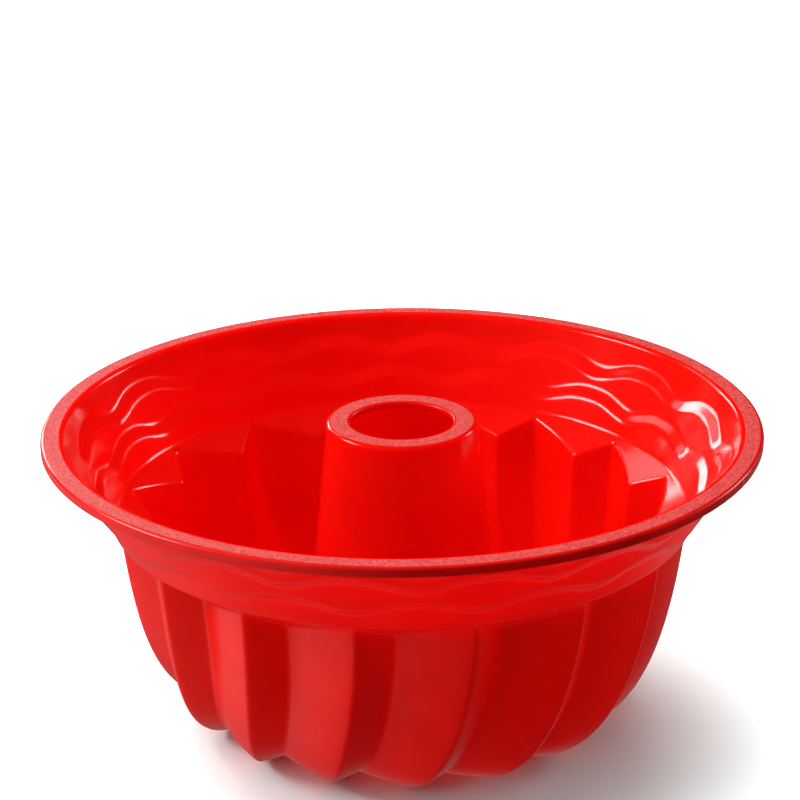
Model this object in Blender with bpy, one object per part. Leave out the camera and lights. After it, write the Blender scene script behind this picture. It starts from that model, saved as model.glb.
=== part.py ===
"""Bundt pan: a swirled, fluted ring-cake mould in silicone, with a steel ring inside its rim.

Metres, +Z up. The origin is on the surface that the pan stands on, below its centre tube.
The pan is one closed skin. Its food side is drawn as a section through the axis, and its
underside is the same section moved outwards by the wall's thickness. The section changes with
its phase in a lobe, from 0 at one ridge to 1 at the next, and is swept around the axis.
"""
import math

import bmesh
import bpy

MM = 0.001

# Driving dimensions.
HEIGHT = 106.5 * MM
RIM_RADIUS = 125.0 * MM
RIM_WIDTH = 7.8 * MM
RIM_THICKNESS = 3.5 * MM
RIM_EDGE = 1.0 * MM
RIM_INNER_EDGE = 0.7 * MM
WALL = 2.4 * MM

# Collar: a cone between the rim and the shoulder, with two wavy steps. Depths are below the rim.
COLLAR_FOOT_RADIUS = 100.0 * MM
COLLAR_FOOT_DEPTH = 30.0 * MM
STEP_DEPTH = 2.5 * MM
STEP_HEIGHT = 3.4 * MM
UPPER_STEP_DEPTH = 8.9 * MM
UPPER_WAVE = 2.05 * MM
LOWER_STEP_DEPTH = 19.6 * MM
LOWER_WAVE = 1.75 * MM
WAVE_SHARPNESS = 1.5

# Lobes: the ridges reach furthest from the axis, the valleys between them least far.
LOBES = 16
RIDGE_ANGLE = math.radians(13.6)
VALLEY_PHASE = 0.30
RIDGE_HALF_WIDTH = 0.035
VALLEY_HALF_WIDTH = 0.03
WALL_SWIRL = math.radians(-14.9)
WALL_SWIRL_POWER = 2.05
FLOOR_SWIRL = math.radians(-8.0)
RIDGE_TOP = (97.5 * MM, 31.8 * MM)
VALLEY_TOP = (88.2 * MM, 37.5 * MM)
RIDGE_DRAFT = math.radians(6.5)
VALLEY_DRAFT = math.radians(7.4)
RIDGE_STRAIGHT = 32.5 * MM
VALLEY_STRAIGHT = 33.8 * MM
RIDGE_BEND = 24.6 * MM
VALLEY_BEND = 17.8 * MM

# Floor: the ridges stand on short flat lands, and the lobes fade out on the tube's flare.
LAND_OUTER_RADIUS = 62.5 * MM
LAND_INNER_RADIUS = 57.5 * MM
FLOOR_DEPTH = HEIGHT - WALL
GROOVE_DEPTH = 4.6 * MM
FLARE_TOP_DEPTH = 75.0 * MM
FLARE_FLOOR_REACH = 13.0 * MM
FLARE_TUBE_REACH = 17.0 * MM

# Centre tube, open at both ends, with a flat ring around its top hole.
TUBE_TOP_RADIUS = 26.3 * MM
TUBE_HOLE_RADIUS = 18.0 * MM
TUBE_EDGE = 1.2 * MM
TUBE_DRAFT = math.radians(5.6)

# Steel ring, and the room that the silicone leaves around it.
RING_RADIUS = 121.1 * MM
WIRE_RADIUS = 0.75 * MM
RING_ROOM = 0.35 * MM
PIN_HOLES = 8
PIN_HOLE_RADIUS = 1.0 * MM
PIN_HOLE_START = math.radians(7.0)

# Resolution.
WALL_ROWS = 6
FLARE_ROWS = 4
WIRE_SIDES = 8
RING_SEGMENTS = 96

SILICONE = (0.72, 0.01, 0.008, 1.0)
STEEL = (0.62, 0.62, 0.63, 1.0)


def clear_scene():
    for item in list(bpy.data.objects):
        bpy.data.objects.remove(item, do_unlink=True)


def material(name, colour, roughness, metallic):
    made = bpy.data.materials.new(name)
    made.use_nodes = True
    shader = made.node_tree.nodes["Principled BSDF"]
    shader.inputs["Base Color"].default_value = colour
    shader.inputs["Roughness"].default_value = roughness
    shader.inputs["Metallic"].default_value = metallic
    return made


def mix(first, second, share):
    return tuple(a + (b - a) * share for a, b in zip(first, second))


def bezier(start, start_handle, end_handle, end, steps):
    """The points of a cubic curve after its start."""
    points = []
    for step in range(1, steps + 1):
        t = step / steps
        one, two = mix(start, start_handle, t), mix(start_handle, end_handle, t)
        three = mix(end_handle, end, t)
        points.append(mix(mix(one, two, t), mix(two, three, t), t))
    return points


def valley_share(phase):
    """0 on a ridge and 1 in a valley, straight between them, with both corners flattened."""
    phase %= 1.0
    ridge_end, valley_start = RIDGE_HALF_WIDTH, VALLEY_PHASE - VALLEY_HALF_WIDTH
    valley_end, next_ridge = VALLEY_PHASE + VALLEY_HALF_WIDTH, 1.0 - RIDGE_HALF_WIDTH
    if phase <= VALLEY_PHASE:
        share = (phase - ridge_end) / (valley_start - ridge_end)
    else:
        share = (next_ridge - phase) / (next_ridge - valley_end)
    return min(1.0, max(0.0, share))


def wave(phase, trough_phase):
    """1 in a narrow trough and -1 on the broad crest between two troughs."""
    hump = 0.5 + 0.5 * math.cos(2.0 * math.pi * (phase - trough_phase))
    return 2.0 * hump ** WAVE_SHARPNESS - 1.0


def collar_slope():
    """How far the collar's food side draws in for each unit of depth, without its steps."""
    top_radius = RIM_RADIUS - RIM_WIDTH
    return (top_radius - COLLAR_FOOT_RADIUS - 2.0 * STEP_DEPTH) / COLLAR_FOOT_DEPTH


def collar_points(phase):
    """Food side of the collar, from just below the rim to its foot, as (radius, depth)."""
    slope, top_radius = collar_slope(), RIM_RADIUS - RIM_WIDTH
    start = RIM_THICKNESS - WALL * math.sin(math.atan(slope))
    upper = UPPER_STEP_DEPTH + UPPER_WAVE * wave(phase, 0.5)
    lower = LOWER_STEP_DEPTH + LOWER_WAVE * wave(phase, 0.0)
    points = [(top_radius - slope * start, start)]
    for taken, depth in enumerate((upper, lower)):
        radius = top_radius - slope * depth - taken * STEP_DEPTH
        points.append((radius, depth))
        points.append((radius - slope * STEP_HEIGHT - STEP_DEPTH, depth + STEP_HEIGHT))
    points.append((COLLAR_FOOT_RADIUS, COLLAR_FOOT_DEPTH))
    return points


def wall_curve(top, draft, straight, bend, floor):
    """A lobe's side, from the shoulder down and round to the floor."""
    down = (top[0] - straight * math.sin(draft), top[1] + straight * math.cos(draft))
    return [top] + bezier(top, down, (floor[0] + bend, floor[1]), floor, WALL_ROWS)


def flare_curve(floor):
    """The floor's inner part, which turns up into the tube."""
    end = (TUBE_TOP_RADIUS + math.tan(TUBE_DRAFT) * FLARE_TOP_DEPTH, FLARE_TOP_DEPTH)
    reach = (FLARE_TUBE_REACH * math.sin(TUBE_DRAFT), FLARE_TUBE_REACH * math.cos(TUBE_DRAFT))
    handle = (end[0] + reach[0], end[1] + reach[1])
    return bezier(floor, (floor[0] - FLARE_FLOOR_REACH, floor[1]), handle, end, FLARE_ROWS)


def lobe_points(phase):
    """Food side from the shoulder's edge to the top of the flare."""
    groove = FLOOR_DEPTH - GROOVE_DEPTH
    ridge_foot, valley_foot = (LAND_OUTER_RADIUS, FLOOR_DEPTH), (LAND_OUTER_RADIUS, groove)
    ridge = wall_curve(RIDGE_TOP, RIDGE_DRAFT, RIDGE_STRAIGHT, RIDGE_BEND, ridge_foot)
    valley = wall_curve(VALLEY_TOP, VALLEY_DRAFT, VALLEY_STRAIGHT, VALLEY_BEND, valley_foot)
    ridge.append((LAND_INNER_RADIUS, FLOOR_DEPTH))
    valley.append((LAND_INNER_RADIUS, groove))
    ridge += flare_curve(ridge[-1])
    valley += flare_curve(valley[-1])
    share = valley_share(phase)
    return [mix(a, b, share) for a, b in zip(ridge, valley)]


def swirls(collar_count):
    """How far each row of the section is turned about the axis."""
    turns = [0.0] * collar_count
    turns += [WALL_SWIRL * (row / WALL_ROWS) ** WALL_SWIRL_POWER for row in range(WALL_ROWS + 1)]
    for row in range(FLARE_ROWS + 1):
        left = 1.0 - (row + 1) / (FLARE_ROWS + 1)
        turns.append(WALL_SWIRL + FLOOR_SWIRL * (1.0 - left * left))
    turns.append(turns[-1])
    return turns


def moved_out(points, distance):
    """The same line at a distance, on the side away from the food."""
    normals = []
    for (r1, d1), (r2, d2) in zip(points, points[1:]):
        length = math.hypot(r2 - r1, d2 - d1)
        normals.append(((d2 - d1) / length, (r1 - r2) / length))
    first, last = [normals[0]] + normals, normals + [normals[-1]]
    moved = []
    for (radius, depth), a, b in zip(points, first, last):
        scale = distance / (1.0 + a[0] * b[0] + a[1] * b[1])
        moved.append((radius + (a[0] + b[0]) * scale, depth + (a[1] + b[1]) * scale))
    return moved


def section(phase):
    """The closed section at one phase of a lobe, as (radius, height, turn) points."""
    collar = collar_points(phase)
    tube_top = (TUBE_TOP_RADIUS + math.tan(TUBE_DRAFT) * WALL, WALL)
    food_side = collar + lobe_points(phase) + [tube_top]
    turns = swirls(len(collar))
    underside = moved_out(food_side, WALL)
    underside[-1] = (underside[-1][0], WALL)
    inner_edge, edge = RIM_RADIUS - RIM_WIDTH, RIM_EDGE
    rim = [(inner_edge, RIM_INNER_EDGE), (inner_edge + RIM_INNER_EDGE, 0.0)]
    rim += [(RIM_RADIUS - edge, 0.0), (RIM_RADIUS, edge), (RIM_RADIUS, RIM_THICKNESS - 0.5 * edge)]
    rim += [(RIM_RADIUS - 0.5 * edge, RIM_THICKNESS)]
    tube_ring = [(TUBE_HOLE_RADIUS, WALL), (TUBE_HOLE_RADIUS, 0.0)]
    tube_ring += [(TUBE_TOP_RADIUS - TUBE_EDGE, 0.0), (TUBE_TOP_RADIUS, TUBE_EDGE)]
    outline = rim + underside + tube_ring + food_side[::-1]
    all_turns = [0.0] * len(rim) + turns + [turns[-1]] * len(tube_ring) + turns[::-1]
    return [(r, HEIGHT - depth, turn) for (r, depth), turn in zip(outline, all_turns)]


def phases():
    """Where a lobe is cut: both sides of its ridge and of its valley, and twice between."""
    far_side = 1.0 - RIDGE_HALF_WIDTH - VALLEY_PHASE - VALLEY_HALF_WIDTH
    valley_end = VALLEY_PHASE + VALLEY_HALF_WIDTH
    return (-RIDGE_HALF_WIDTH, RIDGE_HALF_WIDTH, VALLEY_PHASE - VALLEY_HALF_WIDTH, valley_end,
            valley_end + far_side / 3.0, valley_end + far_side * 2.0 / 3.0)


def object_from(mesh_data, name, finish, outward=True):
    if outward:
        bmesh.ops.recalc_face_normals(mesh_data, faces=mesh_data.faces)
    mesh = bpy.data.meshes.new(name)
    mesh_data.to_mesh(mesh)
    mesh_data.free()
    made = bpy.data.objects.new(name, mesh)
    bpy.context.scene.collection.objects.link(made)
    if finish:
        mesh.materials.append(finish)
        mesh.shade_smooth()
        mesh.set_sharp_from_angle(angle=math.radians(30.0))
    return made


def swept_columns(columns):
    """Join closed columns of vertices, and the last to the first, into one closed skin."""
    mesh_data = bmesh.new()
    rows = [[mesh_data.verts.new(point) for point in column] for column in columns]
    for here, there in zip(rows, rows[1:] + rows[:1]):
        for i in range(len(here)):
            j = (i + 1) % len(here)
            mesh_data.faces.new((here[i], here[j], there[j], there[i]))
    return mesh_data


def pan_skin():
    pitch = 2.0 * math.pi / LOBES
    columns = []
    for lobe in range(LOBES):
        for phase in phases():
            start = RIDGE_ANGLE + (lobe + phase) * pitch
            columns.append([(r * math.cos(start + turn), r * math.sin(start + turn), z)
                            for r, z, turn in section(phase)])
    return swept_columns(columns)


def torus(major_radius, minor_radius, height):
    columns = []
    for segment in range(RING_SEGMENTS):
        angle = 2.0 * math.pi * segment / RING_SEGMENTS
        column = []
        for side in range(WIRE_SIDES):
            around = 2.0 * math.pi * (side + 0.5) / WIRE_SIDES
            r = major_radius + minor_radius * math.cos(around)
            z = height + minor_radius * math.sin(around)
            column.append((r * math.cos(angle), r * math.sin(angle), z))
        columns.append(column)
    return swept_columns(columns)


def pin_holes(height):
    """Short upright plugs from under the rim to the middle of the ring's room."""
    plugs = bmesh.new()
    length = RIM_THICKNESS
    for hole in range(PIN_HOLES):
        angle = PIN_HOLE_START + 2.0 * math.pi * hole / PIN_HOLES
        made = bmesh.ops.create_cone(plugs, cap_ends=True, segments=8, radius1=PIN_HOLE_RADIUS,
                                     radius2=PIN_HOLE_RADIUS, depth=length)
        place = (RING_RADIUS * math.cos(angle), RING_RADIUS * math.sin(angle),
                 height - 0.5 * length)
        bmesh.ops.translate(plugs, verts=made["verts"], vec=place)
    return plugs


def cut(target, cutter):
    cutter.hide_render = True
    cutter.display_type = "WIRE"
    boolean = target.modifiers.new("cut_" + cutter.name, "BOOLEAN")
    boolean.operation = "DIFFERENCE"
    boolean.solver = "EXACT"
    boolean.object = cutter


def main():
    clear_scene()
    ring_height = HEIGHT - 0.5 * RIM_THICKNESS
    silicone = material("silicone_red", SILICONE, 0.3, 0.0)
    steel = material("steel_wire", STEEL, 0.3, 1.0)
    pan = object_from(pan_skin(), "pan_body", silicone)
    room = torus(RING_RADIUS, WIRE_RADIUS + RING_ROOM, ring_height)
    cut(pan, object_from(room, "ring_room", None))
    cut(pan, object_from(pin_holes(ring_height), "pin_holes", None))
    object_from(torus(RING_RADIUS, WIRE_RADIUS, ring_height), "rim_ring", steel)


main()
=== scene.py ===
"""Looks of the bundt pan: glossy red silicone with matt rim and tube faces, on a white table.

Metres, +Z up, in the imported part's frame. The pan's skin is drawn like the part's: a section
through the axis that changes with its phase in a lobe, from 0 at one ridge to 1 at the next.
"""
import math

import bpy
import numpy as np
from mathutils import Matrix, Vector


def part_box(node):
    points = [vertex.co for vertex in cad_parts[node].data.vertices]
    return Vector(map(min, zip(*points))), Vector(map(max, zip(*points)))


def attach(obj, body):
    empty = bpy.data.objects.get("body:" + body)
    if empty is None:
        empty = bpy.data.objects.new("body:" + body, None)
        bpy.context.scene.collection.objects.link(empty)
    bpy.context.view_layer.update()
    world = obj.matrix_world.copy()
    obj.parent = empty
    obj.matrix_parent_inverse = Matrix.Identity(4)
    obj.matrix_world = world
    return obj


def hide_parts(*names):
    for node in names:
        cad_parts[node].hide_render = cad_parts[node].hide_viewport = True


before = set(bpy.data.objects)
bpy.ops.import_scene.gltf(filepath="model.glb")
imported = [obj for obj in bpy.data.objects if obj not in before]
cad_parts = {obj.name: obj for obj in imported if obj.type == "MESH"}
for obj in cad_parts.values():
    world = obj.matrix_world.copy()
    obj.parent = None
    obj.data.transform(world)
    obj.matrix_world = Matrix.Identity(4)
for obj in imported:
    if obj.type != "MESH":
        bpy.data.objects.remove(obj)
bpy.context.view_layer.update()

MM = 0.001

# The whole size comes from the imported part.
LOW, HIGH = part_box("pan_body")
HEIGHT = HIGH.z
RIM_RADIUS = 0.5 * (HIGH.x - LOW.x)

# Rim.
RIM_WIDTH = 7.8 * MM
RIM_THICKNESS = 3.5 * MM
RIM_TOP_ROUND = 1.3 * MM
RIM_SIDE_ROUND = 0.7 * MM
RIM_INNER_ROUND = 1.6 * MM
WALL = 2.4 * MM

# Collar with its two wavy steps. Depths are below the rim's top.
COLLAR_FOOT = (100.0 * MM, 30.0 * MM)
COLLAR_FOOT_ROUND = 4.0 * MM
STEP_DEPTH = 2.5 * MM
STEP_HEIGHT = 3.4 * MM
STEP_ROUND = 5.5 * MM
UPPER_STEP_DEPTH = 8.9 * MM
UPPER_WAVE = 2.05 * MM
LOWER_STEP_DEPTH = 19.6 * MM
LOWER_WAVE = 1.75 * MM
WAVE_SHARPNESS = 1.5

# Lobes.
LOBES = 16
RIDGE_ANGLE = math.radians(13.6)
VALLEY_PHASE = 0.30
RIDGE_BLEND = 0.030
VALLEY_BLEND = 0.030
WALL_SWIRL = math.radians(-14.9)
WALL_SWIRL_POWER = 2.05
FLOOR_SWIRL = math.radians(-8.0)
RIDGE_TOP = (97.5 * MM, 31.8 * MM)
VALLEY_TOP = (88.2 * MM, 37.5 * MM)
SHOULDER_ROUND = 3.2 * MM
RIDGE_DRAFT = math.radians(6.5)
VALLEY_DRAFT = math.radians(7.4)
RIDGE_STRAIGHT = 32.5 * MM
VALLEY_STRAIGHT = 33.8 * MM
RIDGE_BEND = 24.6 * MM
VALLEY_BEND = 17.8 * MM

# Floor and flare.
LAND_OUTER_RADIUS = 62.5 * MM
LAND_INNER_RADIUS = 57.5 * MM
FLOOR_DEPTH = HEIGHT - WALL
GROOVE_DEPTH = 4.6 * MM
FLARE_TOP_DEPTH = 75.0 * MM
FLARE_FLOOR_REACH = 13.0 * MM
FLARE_TUBE_REACH = 17.0 * MM

# Centre tube.
TUBE_TOP_RADIUS = 26.3 * MM
TUBE_HOLE_RADIUS = 18.0 * MM
TUBE_DRAFT = math.radians(5.6)
TUBE_OUTER_ROUND = 1.5 * MM
TUBE_HOLE_ROUND = 0.8 * MM
TUBE_HOLLOW_ROUND = 1.5 * MM

# Resolution of the skin.
WALL_ROWS = 26
FLARE_ROWS = 16
ROUND_STEPS = 5
BLEND_STEPS = 6
STEEP_STEPS = 4
SHALLOW_STEPS = 9

# A blended corner's level, as a share of the blend's height at the corner.
BLEND_LEVEL = 0.75
# How much of each neighbouring straight a rounded corner may take, and where its extra points
# lie on them, in reaches of the arc.
ARC_REACH_LIMIT = 0.42
ARC_MARGIN = 0.35

# Room: strengths, directions (azimuth and elevation in degrees), and how squarely the room has to
# be seen from a direction for a strength to start and to be full.
ROOM_LEVEL, ROOM_FRONT, ROOM_LEFT = 0.38, 0.0, 1.0
SHINE_BASE, SHINE_BACK, SHINE_LEFT = 0.03, 0.15, 0.24
LEFT_SIDE, FRONT_SIDE = (176.0, 0.0), (-62.0, -15.0)
LEFT_SPREAD, FRONT_SPREAD = (-0.1, 0.8), (0.0, 0.8)
SHINE_LEFT_SPREAD, SHINE_BACK_SPREAD = (0.55, 0.75), (-0.25, 0.25)
HORIZON_SPREAD = (-0.08, 0.08)

# Softboxes: azimuth and elevation in degrees, distance, width and height in metres, and watts.
SOFTBOXES = {
    "light_top": (120.0, 70.0, 2.2, 2.0, 2.0, 33.0),
    "light_left": (178.0, 33.0, 1.9, 0.8, 0.45, 20.0),
    "light_back_left_low": (118.5, 16.5, 2.1, 0.72, 0.42, 9.0),
    "light_back_left_high": (124.0, 33.0, 2.1, 0.65, 0.5, 2.2),
    "light_back_right": (33.0, 19.0, 2.0, 0.46, 0.36, 5.0),
    "light_right": (12.0, 6.0, 1.9, 0.9, 0.5, 13.0),
    "light_table": (115.0, 70.0, 2.6, 3.4, 3.4, 175.0),
}
HIDDEN_FROM_GLOSS = ("light_top", "light_right", "light_table")

# Silicone.
RED = (0.76, 0.003, 0.001, 1.0)
LIGHT_RED = (0.83, 0.005, 0.002, 1.0)
# A darker red for the rim's rounded outer edge, side and underside: painted shade.
PAINTED_SHADE_RED = (0.6, 0.002, 0.001, 1.0)
THIN_GLOW, LOBE_GLOW, THICK_GLOW = 0.85, 0.48, 0.03
# Heights between which the lobes give way to the collar.
GLOW_FROM, GLOW_TO = 0.066, 0.078
# How far light soaks in, how much of that each colour does, and the refractive index.
SOAK_DEPTH = 0.014
SOAK_COLOURS = (1.0, 0.03, 0.02)
SILICONE_IOR = 1.41
GLOSS_ROUGHNESS, SATIN_ROUGHNESS = 0.14, 0.24
GLOSS_PEEL, SATIN_PEEL = 0.00002, 0.00003
CLOUD_SCALE, SMEAR_SCALE, WAVINESS_SCALE, PEEL_SCALE = 38.0, 95.0, 140.0, 1500.0
WAVINESS = 0.0003
# The matt faces' pale pink speckle is partly the grain's own tone and partly painted sheen and sparkle
# of the textured finish.
MATT_DARK, MATT_SHEEN_LIGHT = (0.5, 0.02, 0.018, 1.0), (0.74, 0.1, 0.09, 1.0)
MATT_GRAIN_SCALE, MATT_GRAIN = 1150.0, 0.0005

# Steel and table.
STEEL_DARK, STEEL_LIGHT = (0.5, 0.5, 0.51, 1.0), (0.68, 0.68, 0.69, 1.0)
STEEL_LINE_SCALE = 900.0
TABLE_DARK, TABLE_LIGHT = (0.81, 0.9, 0.9, 1.0), (0.84, 0.93, 0.93, 1.0)
TABLE_MOTTLE_SCALE, TABLE_ROUGHNESS = 6.0, 0.6
TABLE_HALF = 8.0

# Camera: where the rim's centre lies in its view, in rim radii, and how it is turned.
CAMERA_LENS = 112.5
CAMERA_PITCH = math.radians(20.466)
CAMERA_ROLL = math.radians(-0.545)
RIM_RIGHT, RIM_BELOW, RIM_AWAY = 0.0046, 0.0556, 6.9615


# ---------------------------------------------------------------- the section of the pan

def mix(first, second, share):
    return tuple(a + (b - a) * share for a, b in zip(first, second))


def bezier(start, start_handle, end_handle, end, steps):
    """The points of a cubic curve after its start."""
    points = []
    for step in range(1, steps + 1):
        t = step / steps
        one, two = mix(start, start_handle, t), mix(start_handle, end_handle, t)
        three = mix(end_handle, end, t)
        points.append(mix(mix(one, two, t), mix(two, three, t), t))
    return points


def softened(offset, fall, rise, blend):
    """Height over a corner where a line falls to it and another rises from it, blended."""
    if offset < -blend:
        return -fall * offset
    if offset > blend:
        return rise * offset
    along = offset + blend
    return fall * blend - fall * along + (fall + rise) * along * along / (4.0 * blend)


def valley_share(phase):
    """0 on a ridge, 1 in a valley and straight between them, with both corners blended."""
    phase %= 1.0
    rise, fall = 1.0 / VALLEY_PHASE, 1.0 / (1.0 - VALLEY_PHASE)
    lowest = softened(0.0, fall, rise, RIDGE_BLEND) * BLEND_LEVEL
    highest = 1.0 - softened(0.0, rise, fall, VALLEY_BLEND) * BLEND_LEVEL
    if abs(phase - VALLEY_PHASE) < 0.5 * VALLEY_PHASE:
        share = 1.0 - softened(phase - VALLEY_PHASE, rise, fall, VALLEY_BLEND)
    else:
        offset = phase if phase < VALLEY_PHASE else phase - 1.0
        share = softened(offset, fall, rise, RIDGE_BLEND)
    return min(1.0, max(0.0, (share - lowest) / (highest - lowest)))


def wave(phase, trough_phase):
    """1 in a narrow trough and -1 on the broad crest between two troughs."""
    hump = 0.5 + 0.5 * math.cos(2.0 * math.pi * (phase - trough_phase))
    return 2.0 * hump ** WAVE_SHARPNESS - 1.0


def collar_points(phase):
    """Corners of the collar's food side, from below the rim to its foot."""
    top_radius = RIM_RADIUS - RIM_WIDTH
    slope = (top_radius - COLLAR_FOOT[0] - 2.0 * STEP_DEPTH) / COLLAR_FOOT[1]
    start = RIM_THICKNESS - WALL * math.sin(math.atan(slope))
    upper = UPPER_STEP_DEPTH + UPPER_WAVE * wave(phase, 0.5)
    lower = LOWER_STEP_DEPTH + LOWER_WAVE * wave(phase, 0.0)
    points = [(top_radius - slope * start, start)]
    for taken, depth in enumerate((upper, lower)):
        radius = top_radius - slope * depth - taken * STEP_DEPTH
        points.append((radius, depth))
        points.append((radius - slope * STEP_HEIGHT - STEP_DEPTH, depth + STEP_HEIGHT))
    points.append(COLLAR_FOOT)
    return points


def wall_curve(top, draft, straight, bend, floor):
    """A lobe's side, from the shoulder down and round to the floor."""
    down = (top[0] - straight * math.sin(draft), top[1] + straight * math.cos(draft))
    return [top] + bezier(top, down, (floor[0] + bend, floor[1]), floor, WALL_ROWS)


def flare_curve(floor):
    """The floor's inner part, which turns up into the tube."""
    end = (TUBE_TOP_RADIUS + math.tan(TUBE_DRAFT) * FLARE_TOP_DEPTH, FLARE_TOP_DEPTH)
    reach = (FLARE_TUBE_REACH * math.sin(TUBE_DRAFT), FLARE_TUBE_REACH * math.cos(TUBE_DRAFT))
    handle = (end[0] + reach[0], end[1] + reach[1])
    return bezier(floor, (floor[0] - FLARE_FLOOR_REACH, floor[1]), handle, end, FLARE_ROWS)


def lobe_points(phase):
    """Food side from the shoulder's edge to the top of the flare."""
    groove = FLOOR_DEPTH - GROOVE_DEPTH
    ridge_foot, valley_foot = (LAND_OUTER_RADIUS, FLOOR_DEPTH), (LAND_OUTER_RADIUS, groove)
    ridge = wall_curve(RIDGE_TOP, RIDGE_DRAFT, RIDGE_STRAIGHT, RIDGE_BEND, ridge_foot)
    valley = wall_curve(VALLEY_TOP, VALLEY_DRAFT, VALLEY_STRAIGHT, VALLEY_BEND, valley_foot)
    ridge.append((LAND_INNER_RADIUS, FLOOR_DEPTH))
    valley.append((LAND_INNER_RADIUS, groove))
    ridge += flare_curve(ridge[-1])
    valley += flare_curve(valley[-1])
    share = valley_share(phase)
    return [mix(a, b, share) for a, b in zip(ridge, valley)]


def swirls(collar_count):
    """How far each corner of the food side is turned about the axis."""
    turns = [0.0] * collar_count
    turns += [WALL_SWIRL * (row / WALL_ROWS) ** WALL_SWIRL_POWER for row in range(WALL_ROWS + 1)]
    for row in range(FLARE_ROWS + 1):
        left = 1.0 - (row + 1) / (FLARE_ROWS + 1)
        turns.append(WALL_SWIRL + FLOOR_SWIRL * (1.0 - left * left))
    turns.append(turns[-1])
    return turns


def moved_out(points, distance):
    """The same line at a distance, on the side away from the food."""
    normals = []
    for (r1, d1), (r2, d2) in zip(points, points[1:]):
        length = math.hypot(r2 - r1, d2 - d1)
        normals.append(((d2 - d1) / length, (r1 - r2) / length))
    first, last = [normals[0]] + normals, normals + [normals[-1]]
    moved = []
    for (radius, depth), a, b in zip(points, first, last):
        scale = distance / (1.0 + a[0] * b[0] + a[1] * b[1])
        moved.append((radius + (a[0] + b[0]) * scale, depth + (a[1] + b[1]) * scale))
    return moved


def rounded(before, corner, after, radius):
    """A circular arc in place of a corner, with one more point on each straight beside it."""
    point = Vector(corner[:2])
    back, on = Vector(before[:2]) - point, Vector(after[:2]) - point
    turn = math.pi - back.angle(on)
    longest = ARC_REACH_LIMIT * min(back.length, on.length)
    reach = min(radius * math.tan(0.5 * turn), longest)
    back.normalize()
    on.normalize()
    start, end, weight = point + back * reach, point + on * reach, math.cos(0.5 * turn)
    margin = ARC_MARGIN * reach
    arc = [tuple(start + back * margin)]
    for step in range(ROUND_STEPS + 1):
        t = step / ROUND_STEPS
        a, b, c = (1.0 - t) ** 2, 2.0 * weight * t * (1.0 - t), t * t
        arc.append(tuple((start * a + point * b + end * c) / (a + b + c)))
    arc.append(tuple(end + on * margin))
    return arc


# Faces of the section are painted by zone. A rounded corner takes the zone after it, but the
# matt faces end where their corners begin.
# The last zone covers the rim's rounded outer edge, its side and its underside, which are given a
# painted shade.
GLOSS, SATIN, MATT, RIM_PAINTED_SHADE = 0, 1, 2, 3
ARC_ZONE = {(GLOSS, MATT): GLOSS, (SATIN, MATT): SATIN}


def section(phase):
    """The closed section at one phase: (radius, height, turn) points and each one's zone.

    A point's zone is that of the face from it to the next point.
    """
    collar = collar_points(phase)
    tube_top = (TUBE_TOP_RADIUS + math.tan(TUBE_DRAFT) * 2.0 * WALL, 2.0 * WALL)
    food_side = collar + lobe_points(phase) + [tube_top]
    turns = swirls(len(collar))
    underside = moved_out(food_side, WALL)
    rounds = [0.0] + [STEP_ROUND] * 4 + [COLLAR_FOOT_ROUND, SHOULDER_ROUND]
    rounds += [0.0] * (len(food_side) - len(rounds))
    top = RIM_RADIUS - RIM_WIDTH
    # From the rim's outer top edge down its side and under it, the faces carry the painted shade.
    outline = [(top, 0.0, 0.0, RIM_INNER_ROUND, MATT), (RIM_RADIUS, 0.0, 0.0, RIM_TOP_ROUND, RIM_PAINTED_SHADE)]
    outline += [(RIM_RADIUS, RIM_THICKNESS, 0.0, RIM_SIDE_ROUND, RIM_PAINTED_SHADE)]
    outline += [(r, d, turn, size, SATIN)
                for (r, d), turn, size in zip(underside, turns, rounds)]
    spin = turns[-1]
    outline += [(underside[-1][0] - math.tan(TUBE_DRAFT) * WALL, WALL, spin, TUBE_HOLLOW_ROUND, SATIN)]
    outline += [(TUBE_HOLE_RADIUS, WALL, spin, TUBE_HOLE_ROUND, SATIN)]
    outline += [(TUBE_HOLE_RADIUS, 0.0, spin, TUBE_HOLE_ROUND, MATT)]
    outline += [(TUBE_TOP_RADIUS, 0.0, spin, TUBE_OUTER_ROUND, GLOSS)]
    outline += [(r, d, turn, size, GLOSS)
                for (r, d), turn, size in zip(food_side[::-1], turns[::-1], rounds[::-1])]
    points, zones = [], []
    zone_before = GLOSS  # the food side's last face closes the section
    for i, (radius, depth, turn, size, zone) in enumerate(outline):
        made = [(radius, depth)]
        if size:
            made = rounded(outline[i - 1], (radius, depth), outline[(i + 1) % len(outline)], size)
        points += [(r, HEIGHT - d, turn) for r, d in made]
        if size:
            arc_zone = ARC_ZONE.get((zone_before, zone), zone)
            zones += [zone_before] + [arc_zone] * (len(made) - 2)
        zones.append(zone)
        zone_before = zone
    return points, zones


def lobe_phases():
    """Where a lobe is cut: closely across its two corners, widely over its two sides."""
    steep_end, shallow_start = VALLEY_PHASE - VALLEY_BLEND, VALLEY_PHASE + VALLEY_BLEND
    stretches = ((-RIDGE_BLEND, RIDGE_BLEND, BLEND_STEPS),
                 (RIDGE_BLEND, steep_end, STEEP_STEPS),
                 (steep_end, shallow_start, BLEND_STEPS),
                 (shallow_start, 1.0 - RIDGE_BLEND, SHALLOW_STEPS))
    phases = []
    for start, end, steps in stretches:
        phases += [start + (end - start) * step / steps for step in range(steps)]
    return phases


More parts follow.
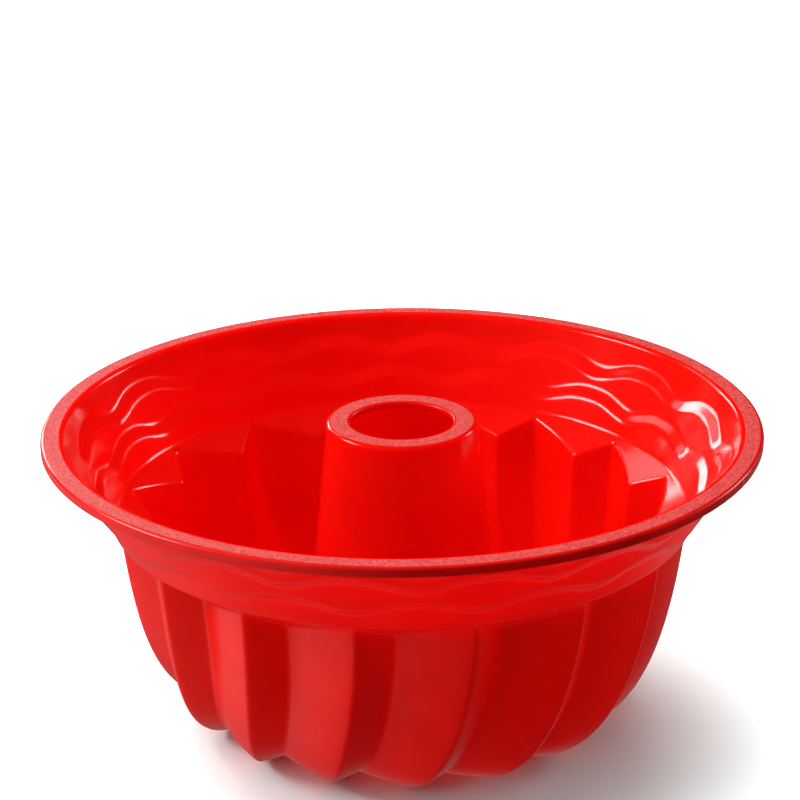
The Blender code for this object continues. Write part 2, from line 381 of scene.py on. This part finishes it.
def pan_mesh():
    pitch = 2.0 * math.pi / LOBES
    phases = lobe_phases()
    sections = [section(phase) for phase in phases]
    zones = sections[0][1]
    vertices = []
    for lobe in range(LOBES):
        for phase, (points, _) in zip(phases, sections):
            r, z, turn = np.array(points).T
            angle = RIDGE_ANGLE + (lobe + phase) * pitch + turn
            vertices.append(np.stack([r * np.cos(angle), r * np.sin(angle), z], axis=1))
    columns, rows = len(vertices), len(zones)
    here, row = np.meshgrid(np.arange(columns), np.arange(rows), indexing="ij")
    there, after = (here + 1) % columns, (row + 1) % rows
    corners = [here * rows + row, here * rows + after, there * rows + after, there * rows + row]
    faces = np.stack(corners, axis=-1).reshape(-1, 4)
    mesh = bpy.data.meshes.new("pan_skin")
    mesh.from_pydata(np.concatenate(vertices).tolist(), [], faces.tolist())
    mesh.polygons.foreach_set("material_index", np.tile(zones, columns).astype(np.int32))
    mesh.shade_smooth()
    mesh.update()
    return mesh


# ---------------------------------------------------------------- materials

class Nodes:
    """Short calls for building one node tree, of a material or of the world."""

    def __init__(self, owner, shader, coordinates):
        owner.use_nodes = True
        self.owner = owner
        self.tree = owner.node_tree
        self.shader = self.tree.nodes[shader]
        self.place = self.tree.nodes.new("ShaderNodeTexCoord").outputs[coordinates]

    def noise(self, scale, detail=2.0, roughness=0.5):
        node = self.tree.nodes.new("ShaderNodeTexNoise")
        node.inputs["Scale"].default_value = scale
        node.inputs["Detail"].default_value = detail
        node.inputs["Roughness"].default_value = roughness
        self.tree.links.new(self.place, node.inputs["Vector"])
        return node.outputs["Fac"]

    def span(self, value, low, high, new_low, new_high):
        node = self.tree.nodes.new("ShaderNodeMapRange")
        for name, number in (("From Min", low), ("From Max", high),
                             ("To Min", new_low), ("To Max", new_high)):
            node.inputs[name].default_value = number
        self.tree.links.new(value, node.inputs["Value"])
        return node.outputs["Result"]

    def blend(self, factor, first, second):
        node = self.tree.nodes.new("ShaderNodeMix")
        node.data_type = "RGBA"
        node.inputs["A"].default_value = first
        node.inputs["B"].default_value = second
        self.tree.links.new(factor, node.inputs["Factor"])
        return node.outputs["Result"]

    def bump(self, height, distance, strength, under=None):
        node = self.tree.nodes.new("ShaderNodeBump")
        node.inputs["Distance"].default_value = distance
        node.inputs["Strength"].default_value = strength
        self.tree.links.new(height, node.inputs["Height"])
        if under:
            self.tree.links.new(under, node.inputs["Normal"])
        return node.outputs["Normal"]

    def math(self, operation, first, second):
        node = self.tree.nodes.new("ShaderNodeMath")
        node.operation = operation
        for socket, value in zip(node.inputs, (first, second)):
            if isinstance(value, float):
                socket.default_value = value
            else:
                self.tree.links.new(value, socket)
        return node.outputs["Value"]

    def along(self, axis):
        """How far the coordinates reach along a direction."""
        node = self.tree.nodes.new("ShaderNodeVectorMath")
        node.operation = "DOT_PRODUCT"
        node.inputs[1].default_value = axis
        self.tree.links.new(self.place, node.inputs[0])
        return node.outputs["Value"]

    def drive(self, output, socket):
        self.tree.links.new(output, self.shader.inputs[socket])

    def set(self, **values):
        for name, value in values.items():
            self.shader.inputs[name.replace("_", " ")].default_value = value


def material(name):
    return Nodes(bpy.data.materials.new(name), "Principled BSDF", "Object")


def glow(made, weight):
    """Light that soaks into the silicone and comes out red."""
    made.set(Subsurface_Weight=weight, Subsurface_Scale=SOAK_DEPTH)
    made.set(Subsurface_Radius=SOAK_COLOURS, IOR=SILICONE_IOR)


def silicone(name, deep, light, roughness, texture_height, glowing):
    """Moulded silicone: cloudy pigment, slightly uneven gloss and a faint orange peel.

    Where it glows more than the lobes do, it drops to their glow below the shoulder. On the rim its
    darker pair of reds is painted shade.
    """
    made = material(name)
    cloud = made.span(made.noise(CLOUD_SCALE, 3.0), 0.35, 0.65, 0.0, 1.0)
    made.drive(made.blend(cloud, deep, light), "Base Color")
    smear = made.noise(SMEAR_SCALE, 4.0, 0.6)
    made.drive(made.span(smear, 0.3, 0.7, roughness * 0.85, roughness * 1.15), "Roughness")
    waviness = made.bump(made.noise(WAVINESS_SCALE, 1.0), WAVINESS, 0.15)
    peel = made.noise(PEEL_SCALE, 2.0)
    made.drive(made.bump(peel, texture_height, 0.3, waviness), "Normal")
    glow(made, glowing)
    if glowing > LOBE_GLOW:
        height = made.along((0.0, 0.0, 1.0))
        made.drive(made.span(height, GLOW_FROM, GLOW_TO, LOBE_GLOW, glowing), "Subsurface Weight")
    return made.owner


def matt_silicone():
    """The spark-textured faces of the rim and of the tube's ring."""
    made = material("silicone_matt")
    grain = made.noise(MATT_GRAIN_SCALE, 3.0, 0.65)
    # Pale pink speckle: partly the grain's own tone, partly painted sheen and sparkle of the textured
    # finish.
    speck_and_sheen = made.span(grain, 0.38, 0.62, 0.0, 1.0)
    made.drive(made.blend(speck_and_sheen, MATT_DARK, MATT_SHEEN_LIGHT), "Base Color")
    made.drive(made.span(grain, 0.35, 0.65, 0.5, 0.36), "Roughness")
    made.drive(made.bump(grain, MATT_GRAIN, 0.8), "Normal")
    glow(made, THICK_GLOW)
    return made.owner


def steel():
    """Drawn stainless wire, with faint lines along it."""
    made = material("steel_wire")
    lines = made.noise(STEEL_LINE_SCALE, 3.0)
    made.drive(made.span(lines, 0.3, 0.7, 0.24, 0.4), "Roughness")
    made.drive(made.blend(lines, STEEL_DARK, STEEL_LIGHT), "Base Color")
    made.set(Metallic=1.0)
    return made.owner


def table_top():
    """A pale table. It is clear from below, so that it doesn't hide the pan's underside."""
    made = material("table_top")
    mottle = made.noise(TABLE_MOTTLE_SCALE, 2.0)
    made.drive(made.blend(mottle, TABLE_DARK, TABLE_LIGHT), "Base Color")
    made.set(Roughness=TABLE_ROUGHNESS)
    nodes, links = made.tree.nodes, made.tree.links
    choice = nodes.new("ShaderNodeMixShader")
    links.new(nodes.new("ShaderNodeNewGeometry").outputs["Backfacing"], choice.inputs["Fac"])
    links.new(made.shader.outputs["BSDF"], choice.inputs[1])
    links.new(nodes.new("ShaderNodeBsdfTransparent").outputs["BSDF"], choice.inputs[2])
    links.new(choice.outputs["Shader"], nodes["Material Output"].inputs["Surface"])
    return made.owner


# ---------------------------------------------------------------- pieces

def make_pan():
    pan = bpy.data.objects.new("silicone_pan", pan_mesh())
    bpy.context.scene.collection.objects.link(pan)
    gloss = silicone("silicone_gloss", RED, LIGHT_RED, GLOSS_ROUGHNESS, GLOSS_PEEL, THIN_GLOW)
    satin = silicone("silicone_satin", RED, LIGHT_RED, SATIN_ROUGHNESS, SATIN_PEEL, THIN_GLOW)
    matt = matt_silicone()
    # A darker copy of the silicone for the rim's outer edge, side and underside: painted shade.
    rim = silicone("silicone_rim_painted_shade", PAINTED_SHADE_RED, RED, SATIN_ROUGHNESS, SATIN_PEEL, THICK_GLOW)
    for finish in (gloss, satin, matt, rim):
        pan.data.materials.append(finish)
    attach(pan, "root")
    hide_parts("pan_body")
    return pan


def finish_ring():
    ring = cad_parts["rim_ring"]
    ring.data.materials.clear()
    ring.data.materials.append(steel())


# ---------------------------------------------------------------- stage, light and camera

def make_floor():
    """The table: only the camera and the lights see it, and the room's glow stands in for it."""
    half = TABLE_HALF
    mesh = bpy.data.meshes.new("table_top")
    corners = [(-half, -half, 0.0), (half, -half, 0.0), (half, half, 0.0), (-half, half, 0.0)]
    mesh.from_pydata(corners, [], [(0, 1, 2, 3)])
    mesh.materials.append(table_top())
    floor = bpy.data.objects.new("table_top", mesh)
    bpy.context.scene.collection.objects.link(floor)
    floor.visible_glossy = False
    floor.visible_diffuse = False
    floor.visible_shadow = False
    return floor


def direction(azimuth, elevation):
    """A unit vector, with both angles in degrees and azimuth 90 straight behind the pan."""
    turn, rise = math.radians(azimuth), math.radians(elevation)
    return Vector((math.cos(turn) * math.cos(rise), math.sin(turn) * math.cos(rise), math.sin(rise)))


def softbox(name, azimuth, elevation, distance, width, height, power):
    light = bpy.data.lights.new(name, "AREA")
    light.shape = "RECTANGLE"
    light.size, light.size_y, light.energy = width, height, power
    lamp = bpy.data.objects.new(name, light)
    away = direction(azimuth, elevation)
    lamp.location = Vector((0.0, 0.0, 0.5 * HEIGHT)) + away * distance
    lamp.rotation_mode = "QUATERNION"
    lamp.rotation_quaternion = away.to_track_quat("Z", "Y")
    lamp.visible_camera = False
    bpy.context.scene.collection.objects.link(lamp)
    return lamp


def make_room():
    """A pale room: brighter on the left, dimmer in front, and dark in polished faces above.

    Polished faces see only its lower half, in place of the table, because the softboxes are the
    only bright things above it.
    """
    world = bpy.data.worlds.new("studio")
    world.cycles.sampling_method = "NONE"
    room = Nodes(world, "Background", "Generated")
    room.set(Color=(1.0, 1.0, 1.0, 1.0))
    left = room.along(direction(*LEFT_SIDE))
    brighter = room.span(left, *LEFT_SPREAD, 0.0, ROOM_LEFT)
    front = room.along(direction(*FRONT_SIDE))
    dimmer = room.span(front, *FRONT_SPREAD, ROOM_LEVEL, ROOM_FRONT)
    diffuse = room.math("ADD", brighter, dimmer)
    upward = room.along((0.0, 0.0, 1.0))
    below = room.span(upward, *HORIZON_SPREAD, 1.0, 0.0)
    left_shine = room.span(left, *SHINE_LEFT_SPREAD, SHINE_BASE, SHINE_BASE + SHINE_LEFT)
    back_shine = room.span(front, *SHINE_BACK_SPREAD, SHINE_BACK, 0.0)
    shine = room.math("MULTIPLY", room.math("ADD", left_shine, back_shine), below)
    ray = room.tree.nodes.new("ShaderNodeLightPath").outputs
    glossy = room.math("MULTIPLY", ray["Is Glossy Ray"], room.math("SUBTRACT", shine, diffuse))
    seen = room.math("ADD", diffuse, glossy)
    camera = room.math("MULTIPLY", ray["Is Camera Ray"], room.math("SUBTRACT", 1.0, seen))
    room.drive(room.math("ADD", seen, camera), "Strength")
    bpy.context.scene.world = world


def light_scene(floor):
    make_room()
    lamps = {name: softbox(name, *placed) for name, placed in SOFTBOXES.items()}
    for name in HIDDEN_FROM_GLOSS:
        lamps[name].visible_glossy = False
    only_floor = bpy.data.collections.new("lit_by_light_table")
    only_floor.objects.link(floor)
    lamps["light_table"].light_linking.receiver_collection = only_floor


def make_camera():
    data = bpy.data.cameras.new("camera")
    data.lens = CAMERA_LENS
    camera = bpy.data.objects.new("camera", data)
    bpy.context.scene.collection.objects.link(camera)
    facing = Matrix.Rotation(0.5 * math.pi - CAMERA_PITCH, 3, "X")
    right, up, back = facing.col
    rim_centre = Vector((0.0, 0.0, HEIGHT))
    offset = up * RIM_BELOW - right * RIM_RIGHT + back * RIM_AWAY
    rolled = facing @ Matrix.Rotation(CAMERA_ROLL, 3, "Z")
    camera.matrix_world = Matrix.Translation(rim_centre + offset * RIM_RADIUS) @ rolled.to_4x4()
    bpy.context.scene.camera = camera


make_camera()
table = make_floor()
make_pan()
finish_ring()
light_scene(table)
bpy.context.scene.view_settings.view_transform = "Standard"
